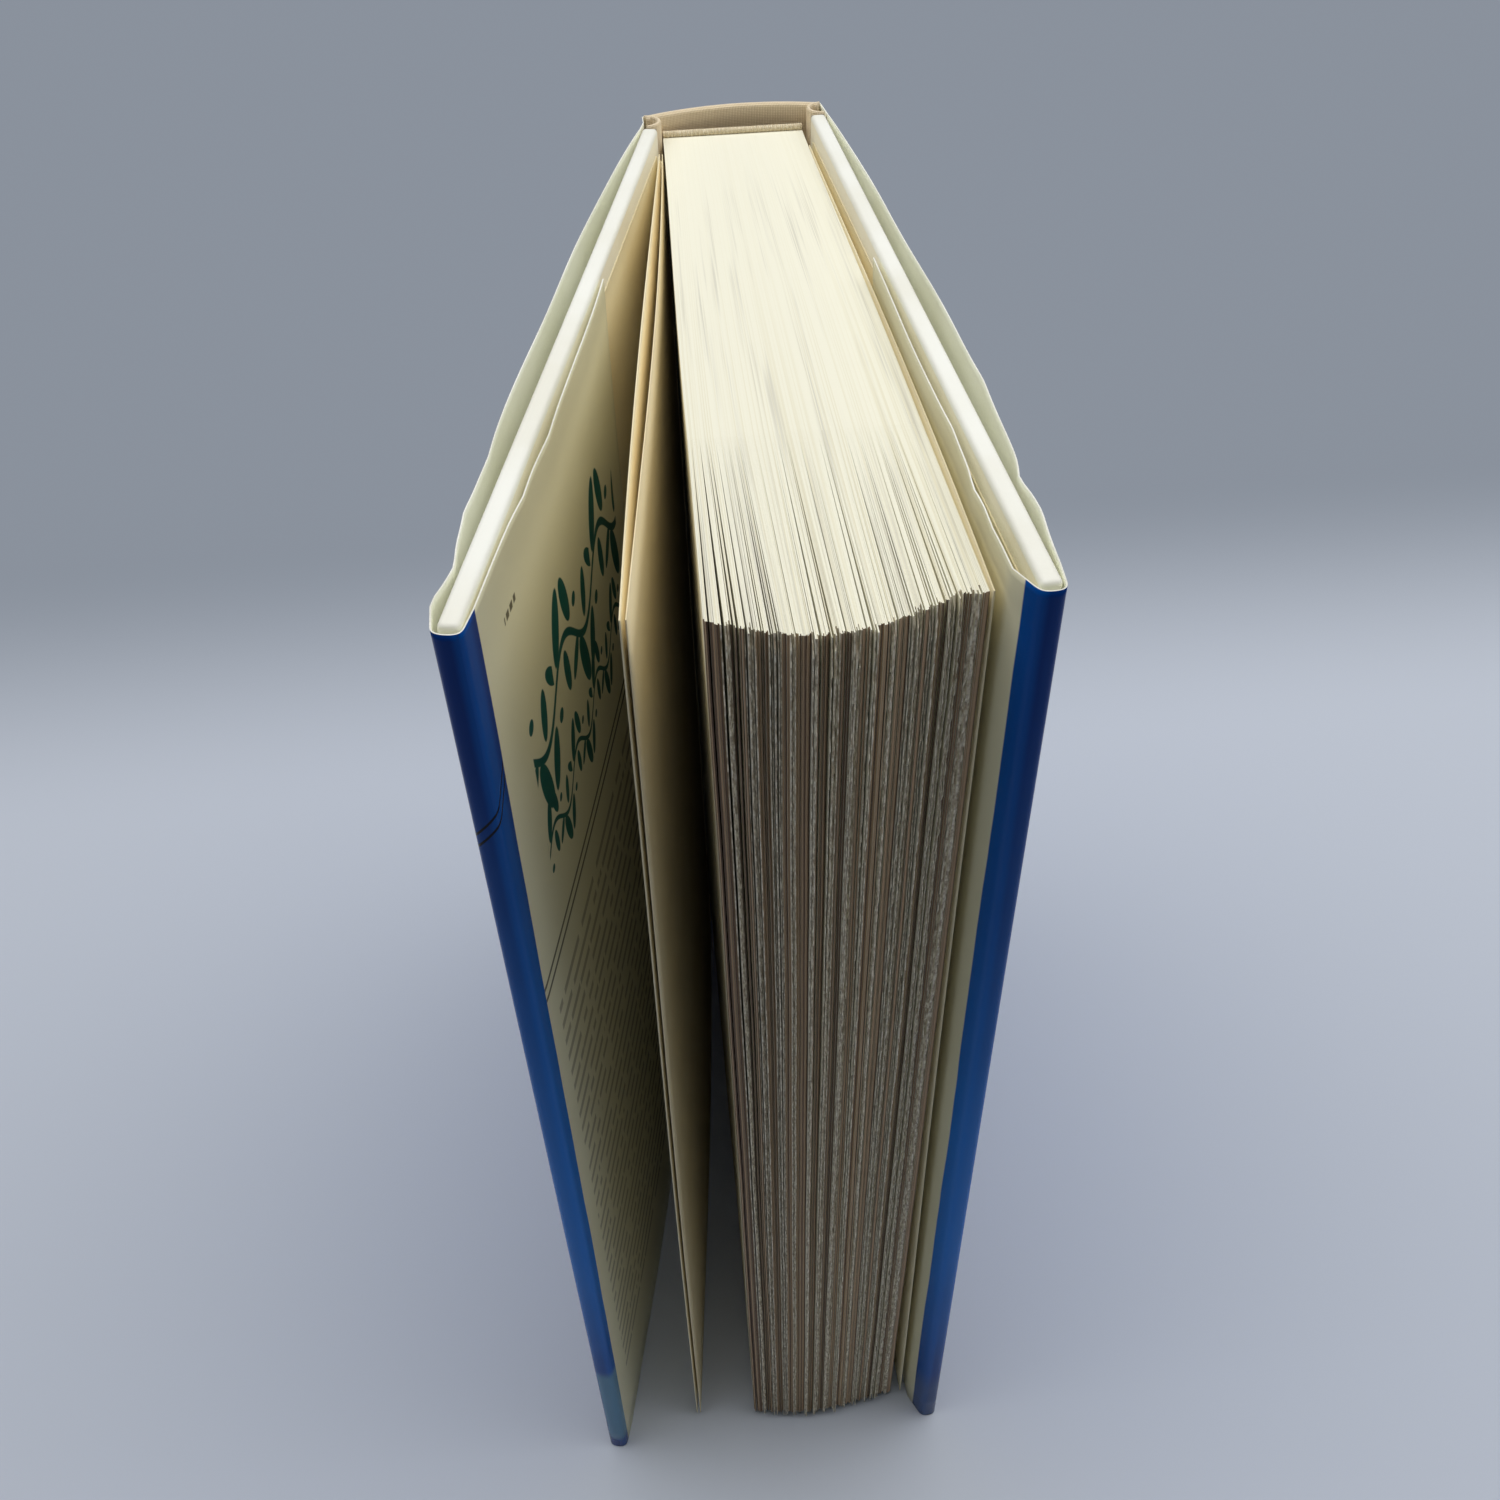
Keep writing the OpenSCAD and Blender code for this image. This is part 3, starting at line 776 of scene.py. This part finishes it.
def page_edge_tree():
    """Leaves at the fore-edge: thin slabs with uneven gaps, torn in some bundles and smooth in others."""
    tree = Tree("rough_cut_leaves", [
        ("Leaves", "Int"), ("First leaf", "Int"), ("Leaves kept", "Int"), ("Rows", "Int"),
        ("Widest gap", "Float"), ("Deckle", "Float"), ("Deckle length", "Float"), ("Seed", "Float"),
    ])
    seed = tree.input("Seed")
    index = tree.node("GeometryNodeInputIndex")
    leaf = tree.named("leaf")

    def drawn(row):
        """A number from 0 to 1 for each leaf; every row of draws has its own."""
        return chance(leaf + seed + row)

    # One point for each leaf, which holds its place and width in the spread fore-edge
    line = tree.node("GeometryNodeMeshLine", Count=tree.input("Leaves"), Offset=(0, 0, 0))
    line = tree.number(line, "leaf", index + 0.5, "POINT")
    own_width = between(0.75, 1.25, drawn(80.0))
    in_bundle = calc("FRACT", leaf / BUNDLE + noise(join(tree.tree, leaf * 0.07, 3.0, seed), 1.0, 0))
    bundle_gap = ease(in_bundle, 0.075, 0.07) * drawn(30.0) * BUNDLE_GAP
    gap = drawn(0.0) ** 9.0 * tree.input("Widest gap") + bundle_gap
    before = tree.node("GeometryNodeAccumulateField", "Trailing", Value=own_width + gap)
    total = tree.node("GeometryNodeAccumulateField", "Total", Value=own_width + gap)
    line = tree.number(line, "start", before / total, "POINT")
    line = tree.number(line, "width", own_width / total, "POINT")

    # A slab on each point of this piece, in a unit cube of depth and height
    passed = index - tree.input("First leaf") + 0.5
    left_out = calc("LESS_THAN", passed, 0.0) + calc("GREATER_THAN", passed, tree.input("Leaves kept"))
    line = tree.node("GeometryNodeDeleteGeometry", Geometry=line, Selection=left_out)
    slab = tree.node("GeometryNodeMeshCube", Vertices_X=2, Vertices_Y=2, Vertices_Z=tree.input("Rows"))
    leaves = tree.node("GeometryNodeInstanceOnPoints", Points=line, Instance=slab)
    leaves = tree.node("GeometryNodeRealizeInstances", Geometry=leaves)
    across, back, height = split(tree.node("GeometryNodeInputPosition"))
    depth = 0.5 - back
    height = height + 0.5

    # Across the block: close together at the back, spread at the fore-edge and most at the head
    close = (leaf + across * 0.98) / tree.input("Leaves")
    spread = tree.named("start") + tree.named("width") * (across + 0.5)
    u = between(close, spread, depth * between(0.5, 1.0, height))
    near_fan = math.sin(math.pi / 2 * EDGE_START) ** FAN_POWER
    fan = between(FAN_HALF_TAIL, FAN_HALF_HEAD, height) - BLOCK_T / 2
    half = fan * between(near_fan, 1.0, depth) + BLOCK_T / 2
    sway = noise(join(tree.tree, leaf * 0.06, height * 4.0, seed), 1.0, 1) - 0.5
    ends = ease(u, 0.95, 1.0) - ease(u, 0.05, 0.0)
    x = (u * 2.0 - 1.0) * half + (sway * 0.4 + ends * END_SPREAD) * depth

    # Towards the fore-edge: bowed, stepped and ragged
    torn = ease(in_bundle, TORN_SHARE + 0.02, TORN_SHARE - 0.02)
    bow = calc("MAXIMUM", calc("COSINE", (x - BOW_X) * (math.pi / 2 / FAN_HALF_HEAD)), 0.0) * FORE_BOW
    bow = bow * between(TAIL_BOW_SHARE, 1.0, height)
    step = (noise(join(tree.tree, leaf * 0.11, 7.0, seed), 1.0, 1) - 0.5) * LEAF_STEP
    along = height * (PAGE_HEAD - PAGE_FOOT) / tree.input("Deckle length")
    slow = noise(join(tree.tree, leaf * 0.3, along * 0.12, seed), 1.0, 2) - 0.5
    quick = noise(join(tree.tree, leaf * 2.3, along, seed + 9.0), 1.0, 2) - 0.5
    ragged = slow * between(0.4, 1.2, torn) + quick * between(0.1, 2.2, torn)
    own = (drawn(50.0) - 0.5) * between(0.6, 1.5, torn)
    frayed = ease(height, 0.988, 1.0) * drawn(60.0) * between(0.2, 1.4, torn)
    front = BLOCK_Y - PAGE_W - bow + step - torn * TORN_OUT
    front = front + (ragged + own) * tree.input("Deckle") + frayed
    y = between(BLOCK_Y - PAGE_W * EDGE_START, front, depth)

    # Upwards: nearly level at the head
    jitter = (drawn(20.0) - 0.5) * HEAD_JITTER * depth
    z = between(PAGE_FOOT, PAGE_HEAD, height) + jitter
    leaves = tree.number(leaves, "torn", torn, "POINT")
    place = join(tree.tree, x * MM, y * MM, z * MM)
    moved = tree.node("GeometryNodeSetPosition", Geometry=leaves, Position=place)
    return tree.finish(moved, PAGES)


def page_edges():
    """Separate leaves at the fore-edge, in a few pieces."""
    tree = page_edge_tree()
    count = LEAVES // EDGE_PARTS
    for part in range(EDGE_PARTS):
        piece = baked(f"page_edges_{part + 1}", tree, {
            "Leaves": LEAVES, "First leaf": part * count, "Leaves kept": count, "Rows": EDGE_ROWS,
            "Widest gap": WIDEST_GAP, "Deckle": DECKLE, "Deckle length": DECKLE_LENGTH, "Seed": EDGE_SEED,
        })
        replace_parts(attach(piece, "book_block"), "text_block")


# Loose leaves
def leaf_point(side, v, room, spread, sag, z):
    """Point of a loose leaf beside the block, at share v of the page's width."""
    ripple = LEAF_RIPPLE * v * math.sin(z / RIPPLE_LENGTH + side) * math.sin(math.pi * v * 0.8)
    if side < 0:
        ripple += TAIL_SPREAD * v * (PAGE_HEAD - z) / (PAGE_HEAD - PAGE_FOOT)
    x = block_half(v, 1) + room + spread * v - sag * math.sin(math.pi * v) + ripple
    return Vector((side * x, BLOCK_Y - PAGE_W * v, z))


def leaf_grid(side, first, last, room, spread, sag, steps):
    """Points of a loose leaf from one share of the page's width to another, facing away from the block."""
    levels = [PAGE_FOOT + (PAGE_HEAD - PAGE_FOOT) * k for k in shares(LEAF_LEVELS)]
    places = [first + (last - first) * share for share in shares(steps)]
    if side > 0:
        places.reverse()
    return [[leaf_point(side, v, room, spread, sag, z) for z in levels] for v in places]


def front_endpaper():
    """Loose half of the front endpaper, spread from the block as a gutter strip and a leaf."""
    turn_share = 0.453
    normal_reach = 600.0
    shape = (2 * LEAF_ROOM + LEAF_T + ENDPAPER_T / 2, LEAF_SPREAD, 0.0)
    level = (PAGE_FOOT + PAGE_HEAD) / 2
    root, bend, middle, tip = (leaf_point(-1, v, *shape, level) for v in (LEAF_START, GUTTER_END, 0.6, 1.0))
    along = (tip - bend).normalized()
    outward = along.cross(Vector((0, 0, 1)))
    materials = [ENDPAPER] * 3

    grid = leaf_grid(-1, LEAF_START, GUTTER_END, *shape, GUTTER_STEPS)
    gutter = closed_sheet("front_endpaper_gutter", grid, ENDPAPER_T, materials)
    reach = along * PAGE_W * (GUTTER_END - LEAF_START) / turn_share
    (root + reach) * MM
    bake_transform(gutter)

    grid = leaf_grid(-1, GUTTER_END, 1.0, *shape, ENDPAPER_STEPS)
    leaf = closed_sheet("front_endpaper_leaf", grid, ENDPAPER_T, materials)
    start = middle - outward * normal_reach * turn_share
    start * MM
    (start + outward * normal_reach) * MM
    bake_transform(leaf)
    for piece in (gutter, leaf):
        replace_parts(piece, "front_free_endpaper")


def first_leaf():
    """First leaf, which turns less than the endpaper near the gutter and as much at the fore-edge."""
    room = LEAF_ROOM + LEAF_T / 2
    grid = leaf_grid(-1, LEAF_START, 1.0, room, LEAF_SPREAD - LEAF_LAG, LEAF_SAG, LEAF_STEPS)
    piece = closed_sheet("first_leaf_sheet", grid, LEAF_T, [FIRST_PAGE] * 3)
    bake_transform(piece)
    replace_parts(piece, "first_leaf")


def back_endpaper():
    """Loose half of the back endpaper, which stays by the block."""
    room = LEAF_ROOM + ENDPAPER_T / 2
    grid = leaf_grid(1, LEAF_START, 1.0, room, BACK_LEAF_SPREAD, 0.0, LEAF_STEPS)
    piece = closed_sheet("back_endpaper_leaf", grid, ENDPAPER_T, [ENDPAPER] * 3)
    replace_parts(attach(piece, "book_block"), "back_free_endpaper")


def endpaper_crease(cover):
    """Strip of the endpaper that crosses the joint, from the block's shoulder to the pasted half."""
    off_block = 0.55
    off_board = 0.25
    below_back = 9.5
    lap = 1.0
    sag = 3.2
    end_room = 2.0
    shoulder = Vector((cover.side * (BLOCK_T / 2 + off_block), BLOCK_Y - below_back, 0))
    pasted = cover.point(PASTE_START + lap, -COVERED_T - off_board, 0)
    bottom = (shoulder + pasted) / 2
    bottom.y = max(shoulder.y, pasted.y) + sag
    path = []
    for t in shares(CREASE_STEPS):
        a, b, c = (1 - t) ** 2, 2 * t * (1 - t), t * t
        path.append(shoulder * a + (bottom * 2 - (shoulder + pasted) / 2) * b + pasted * c)
    if cover.side > 0:
        path.reverse()
    height = PAGE_HEAD - PAGE_FOOT - 2 * end_room
    levels = [PAGE_FOOT + end_room + height * k for k in shares(3)]
    grid = [[point + Vector((0, 0, z)) for z in levels] for point in path]
    piece = closed_sheet(f"{cover.body}_endpaper_crease", grid, ENDPAPER_T, [ENDPAPER] * 3)
    pasted * MM
    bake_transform(piece)


# Covers
def covered_board(cover, name, node):
    """Board wrapped in paper, softly rounded along its edges."""
    points = []
    for z in (0, BOARD_H):
        for s in (0, -COVERED_T):
            for u in (BOARD_START, BOARD_END):
                points.append(cover.point(u, s, z))
    faces = [(0, 1, 5, 4), (3, 2, 6, 7), (1, 3, 7, 5), (2, 0, 4, 6), (4, 5, 7, 6), (1, 0, 2, 3)]
    piece = mesh_object(name, points, faces, [COVER_PAPER, TURN_IN_PAPER], [0, 1, 0, 0, 0, 0])
    shape = bmesh.new()
    shape.from_mesh(piece.data)
    bmesh.ops.bevel(
        shape, geom=shape.edges[:], offset=BOARD_ROUND * MM, segments=4, profile=0.5, affect="EDGES",
    )
    bmesh.ops.recalc_face_normals(shape, faces=shape.faces[:])
    shape.to_mesh(piece.data)
    shape.free()
    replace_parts(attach(piece, cover.body), node)


# Spine
HINGE_X = (FRONT.hinge - BACK.hinge).length / 2
SPINE_R = (HINGE_X ** 2 + SPINE_RISE ** 2) / (2 * SPINE_RISE)
SPINE_REACH = math.asin(HINGE_X / SPINE_R)


def leaned(x, y, z):
    """A point of the spine, drawn square to the block, turned as the spine leans."""
    return Matrix.Rotation(SPINE_LEAN, 3, "Z") @ Vector((x, y, z))


def spine_point(angle, radius, z):
    """Point of the spine's round back."""
    return leaned(radius * math.sin(angle), radius * math.cos(angle) - SPINE_R, z)


def turned_in(name, place, steps, radius, thickness):
    """Wall of cloth folded over its head and tail; place gives the point at a step, a radius and a height."""
    half = thickness / 2
    rounds = [math.pi * share for share in shares(TURN_STEPS)]
    profile = [(radius - half, TURN_IN)]
    profile += [(radius - half * math.cos(a), half - half * math.sin(a)) for a in rounds]
    profile += [(radius + half, TURN_IN), (radius + half, BOARD_H - TURN_IN)]
    profile += [(radius + half * math.cos(a), BOARD_H - half + half * math.sin(a)) for a in rounds]
    profile += [(radius - half, BOARD_H - TURN_IN)]
    grid = [[place(step, r, z) for r, z in profile] for step in steps]
    return closed_sheet(name, grid, TURNED_CLOTH_T, [SPINE_CLOTH] * 3)


def spine_case():
    """Cloth over the spine card, turned in at the head and tail."""
    thickness = CLOTH_T + INLAY_T
    angles = [SPINE_REACH * (1 - 2 * share) for share in shares(SPINE_STEPS)]
    wall = turned_in("spine_case", spine_point, angles, SPINE_R + CLOTH_T / 4 - thickness / 2, thickness)
    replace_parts(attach(wall, "book_block"), "spine_cloth")


def groove(label, side):
    """Cloth pressed into the joint beside the spine."""
    def groove_point(share, radius, z):
        turn = math.pi * (share - 0.5) * side
        across = side * (HINGE_X - radius * math.cos(turn))
        return leaned(across, -SPINE_RISE - GROOVE_MID - radius * math.sin(turn), z)

    piece = turned_in(f"{label}_groove", groove_point, shares(GROOVE_STEPS), GROOVE_MID, CLOTH_T)
    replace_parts(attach(piece, "book_block"), "spine_cloth")


def band_tree():
    """Bead of a head or tail band: turns of thread side by side over a tape."""
    tree = Tree("wound_band", [
        ("Width", "Float"), ("Turns", "Int"), ("Bead radius", "Float"), ("Thread radius", "Float"),
    ])
    width = tree.input("Width")
    turns = tree.input("Turns")
    line = tree.node("GeometryNodeMeshLine", Count=turns, Offset=join(tree.tree, width / turns, 0.0, 0.0))
    circle = tree.node("GeometryNodeCurvePrimitiveCircle", Resolution=14, Radius=tree.input("Bead radius"))
    thread = tree.node("GeometryNodeCurvePrimitiveCircle", Resolution=7, Radius=tree.input("Thread radius"))
    ring = tree.node("GeometryNodeCurveToMesh", Curve=circle, Profile_Curve=thread)
    ring = tree.node("GeometryNodeTransform", Geometry=ring, Rotation=(0, math.pi / 2, 0))
    threads = tree.node("GeometryNodeInstanceOnPoints", Points=line, Instance=ring)
    threads = tree.number(threads, "turn", tree.node("GeometryNodeInputIndex"), "INSTANCE")
    threads = tree.node("GeometryNodeRealizeInstances", Geometry=threads)
    return tree.finish(threads, BAND)


def band(name, tree, end, direction):
    """Wound bead beside the end of the block's back, on a tape glued to it."""
    pitch = BLOCK_T / BAND_TURNS
    thread = pitch * 0.6
    piece = baked(name, tree, {
        "Width": BLOCK_T * MM, "Turns": BAND_TURNS,
        "Bead radius": (BAND_R - thread) * MM, "Thread radius": thread * MM,
    })
    bead = BEAD_SHARE * BAND_R
    place = Vector((-BLOCK_T / 2 + pitch / 2, BLOCK_Y + bead, end + direction * bead)) * MM
    piece.data.transform(Matrix.Translation(place))
    piece.data.polygons.foreach_set("use_smooth", [True] * len(piece.data.polygons))
    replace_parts(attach(piece, "book_block"), name.removesuffix("_threads"))
    levels = sorted((end - direction * BAND_TAPE, end))
    tape_y = BLOCK_Y + BAND_T / 2
    grid = [[Vector((x, tape_y, z)) for z in levels] for x in (BLOCK_T / 2, 0.0, -BLOCK_T / 2)]
    tape = closed_sheet(name.replace("threads", "tape"), grid, BAND_T, [LINING] * 3)
    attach(tape, "book_block")


# Dust jacket
def softened(corners, radius):
    """Path through corners, each rounded off within the given distance."""
    points = [Vector(corner) for corner in corners]
    path = [points[0]]
    for before, corner, after in zip(points, points[1:], points[2:]):
        start = corner + (before - corner).normalized() * min(radius, (before - corner).length / 2)
        end = corner + (after - corner).normalized() * min(radius, (after - corner).length / 2)
        for t in shares(FOLD_STEPS):
            path.append(start * (1 - t) ** 2 + corner * 2 * t * (1 - t) + end * t * t)
    return path + [points[-1]]


def arch(v):
    """Bow of a loose sheet: 0 at its ends and 1 in the middle."""
    return math.sin(math.pi * v) ** BOW_POWER


def jacket_profile(bulge, flap_bulge, fold_swell, kink, kink_depth):
    """Points (u, s) along a panel, round its fold and back along its flap, and which one is on the fold."""
    outer = JACKET_OFF
    inner = -COVERED_T - JACKET_OFF
    width = BOARD_END - BOARD_START
    out = BOARD_END + FOLD_OUT
    panel = [(0.0, outer)]
    for v in shares(PANEL_STEPS)[:-1]:
        panel.append((BOARD_START + width * v, outer + bulge * arch(v)))
    fold = softened([
        panel[-2], (out - 0.7, outer + fold_swell), (out, -0.6),
        (out, inner + 0.9), (out - 0.6, inner), (BOARD_END - kink, inner - kink_depth),
    ], FOLD_ROUND)
    flap = []
    for v in shares(FLAP_STEPS)[1:]:
        settled = inner - kink_depth * (1 - v) ** 1.5
        flap.append((BOARD_END - kink - (FLAP_W - kink) * v, settled - flap_bulge * arch(v)))
    path = [Vector(point) for point in panel[:-2]] + fold + [Vector(point) for point in flap]
    fold_middle = Vector((out, -COVERED_T / 2))
    turn = min(range(len(path)), key=lambda i: (path[i] - fold_middle).length)
    return path, turn


def jacket_wave(u, z, phase, dents):
    """How far the loose paper stands off the board: soft waves at head and tail, and a few sharp dents."""
    head = math.exp(-(BOARD_H - z) / HEAD_WAVE_REACH)
    tail = math.exp(-z / TAIL_WAVE_REACH)
    wave = 0.55 + math.sin(u / 17 + phase) * 0.4 + math.sin(u / 7.5 + 2 * phase) * 0.15
    held = math.sin(math.pi * min(1, max(0, u / BOARD_END))) ** 0.5
    dented = sum(depth * math.exp(-abs((u - place) / width) ** 1.5) for place, width, depth in dents)
    return (head + 0.6 * tail) * wave * held * WAVE_HEIGHT + dented * math.exp(-(BOARD_H - z) / DENT_REACH)


def jacket_half(cover, name, shape, phase, panel_dents, flap_dents, print_finish, nodes):
    """Jacket over one cover; the back half also covers the spine."""
    path, turn = jacket_profile(**shape)
    height = BOARD_H - 2 * JACKET_SHORT
    levels = [JACKET_SHORT + height * (1 - (1 - k) ** 1.4) for k in shares(JACKET_LEVELS)]
    grid = []
    for i, (u, s) in enumerate(path):
        if i > turn:
            row = [cover.point(u, s - jacket_wave(u, z, phase + 2, flap_dents), z) for z in levels]
        else:
            row = [cover.point(u, s + jacket_wave(u, z, phase, panel_dents), z) for z in levels]
        grid.append(row)
    radius = SPINE_R + CLOTH_T / 2 + JACKET_OFF
    angles = [-SPINE_REACH]
    if cover is BACK:
        angles = [SPINE_REACH * (2 * share - 1) for share in shares(JACKET_SPINE_STEPS)]
    corner = [[spine_point(angle, radius, z) for z in levels] for angle in angles]
    grid = corner + grid
    to_fold = sum((grid[i + 1][0] - grid[i][0]).length for i in range(len(corner) + turn))
    piece = closed_sheet(name, grid, JACKET_T, [print_finish, JACKET_INSIDE, JACKET_EDGE], -to_fold)
    if cover is BACK:
        # The grid of this half is mirrored, so its face and its inner side change places
        for polygon in piece.data.polygons:
            polygon.material_index = (1, 0, 2)[polygon.material_index]
    cover.point(-2.5, 0, 0) * MM
    cover.point(3.0, 0, 0) * MM
    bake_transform(piece)
    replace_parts(piece, *nodes)


# Studio
def make_camera():
    """Camera at the photograph's place and angle."""
    level = Vector((math.cos(CAMERA_YAW), -math.sin(CAMERA_YAW), 0))
    ahead = Vector((math.sin(CAMERA_YAW), math.cos(CAMERA_YAW), 0)) * math.cos(CAMERA_PITCH)
    ahead.z = -math.sin(CAMERA_PITCH)
    above = level.cross(ahead)
    right = level * math.cos(CAMERA_ROLL) + above * math.sin(CAMERA_ROLL)
    up = above * math.cos(CAMERA_ROLL) - level * math.sin(CAMERA_ROLL)
    camera = bpy.data.objects.new("camera", bpy.data.cameras.new("camera"))
    camera.data.lens = CAMERA_LENS
    camera.data.sensor_width = 36.0
    camera.data.clip_start = 0.01
    turn = Matrix((right, up, -ahead)).transposed().to_4x4()
    camera.matrix_world = Matrix.Translation(CAMERA_PLACE * MM) @ turn
    bpy.context.scene.collection.objects.link(camera)
    bpy.context.scene.camera = camera


def make_lamp(name, place, target, width, depth, power):
    """Large oval lamp; its lengths are in metres."""
    lamp = bpy.data.objects.new(name, bpy.data.lights.new(name, "AREA"))
    lamp.data.shape = "ELLIPSE"
    lamp.data.size = width
    lamp.data.size_y = depth
    lamp.data.energy = power
    lamp.location = place
    lamp.rotation_mode = "QUATERNION"
    lamp.rotation_quaternion = (Vector(target) - Vector(place)).to_track_quat("-Z", "Y")
    bpy.context.scene.collection.objects.link(lamp)


def seen_by_camera(tree):
    """1 for what the camera sees straight or in a reflection, 0 for light on its way to the object."""
    node = tree.nodes.new("ShaderNodeLightPath")
    seen = [Field(tree, node.outputs[f"Is {kind} Ray"]) for kind in ("Camera", "Glossy", "Transmission")]
    return calc("MINIMUM", seen[0] + seen[1] + seen[2], 1.0)


def make_studio():
    """Pale floor that fades into a pale surround, under one large soft lamp."""
    finish = Finish("pale_floor", 0.8, Specular_IOR_Level=0.0)
    place = finish.place()
    x, y, _ = split(place)
    around = ease(calc("SQRT", x * x + y * y), *FLOOR_FADE)
    behind = ease(y, *BACKDROP_FADE)
    far = calc("MAXIMUM", around, behind) * seen_by_camera(finish.tree)
    finish.set("Base Color", mixed(far, tone(211, 218, 230), tone(0, 0, 0)))
    finish.shader.inputs["Emission Color"].default_value = SURROUND
    finish.set("Emission Strength", far)
    corners = [Vector(corner) * FLOOR_HALF for corner in ((-1, -1, 0), (1, -1, 0), (1, 1, 0), (-1, 1, 0))]
    mesh_object("floor", corners, [(0, 1, 2, 3)], [finish.material])
    make_lamp("key", place=(0.2, 0.0, 0.95), target=(0.2, 0.0, 0.1), width=2.8, depth=0.9, power=13.5)
    world = bpy.data.worlds.new("pale_surround")
    world.use_nodes = True
    background = world.node_tree.nodes["Background"]
    background.inputs["Color"].default_value = SURROUND
    strength = between(WORLD_LIGHT, 1.0, seen_by_camera(world.node_tree))
    plug(world.node_tree, background.inputs["Strength"], strength)
    bpy.context.scene.world = world
    bpy.context.scene.view_settings.view_transform = "Standard"


make_camera()
make_studio()
page_core()
page_edges()
front_endpaper()
first_leaf()
back_endpaper()
endpaper_crease(FRONT)
endpaper_crease(BACK)
covered_board(FRONT, "front_covered_board", "front_cover_paper")
covered_board(BACK, "back_covered_board", "back_cover_paper")
spine_case()
groove("front", FRONT.side)
groove("back", BACK.side)
WOUND_BAND = band_tree()
band("head_band_threads", WOUND_BAND, PAGE_HEAD, 1)
band("tail_band_threads", WOUND_BAND, PAGE_FOOT, -1)
jacket_half(FRONT, "jacket_front_half", FRONT_SHAPE, 0.0, FRONT_PANEL_DENTS, FRONT_FLAP_DENTS,
            JACKET_FRONT_PRINT, ["jacket_front"])
jacket_half(BACK, "jacket_back_half", BACK_SHAPE, 1.3, BACK_PANEL_DENTS, BACK_FLAP_DENTS,
            JACKET_BACK_PRINT, ["jacket_back", "jacket_spine"])

for node, material in (
    ("spine_lining", LINING), ("spine_inlay", CARD), ("front_board", BOARD), ("back_board", BOARD),
    ("front_pastedown", ENDPAPER), ("back_pastedown", ENDPAPER),
):
    slots = frame["nodes"][node].data.materials
    slots.clear()
    slots.append(material)
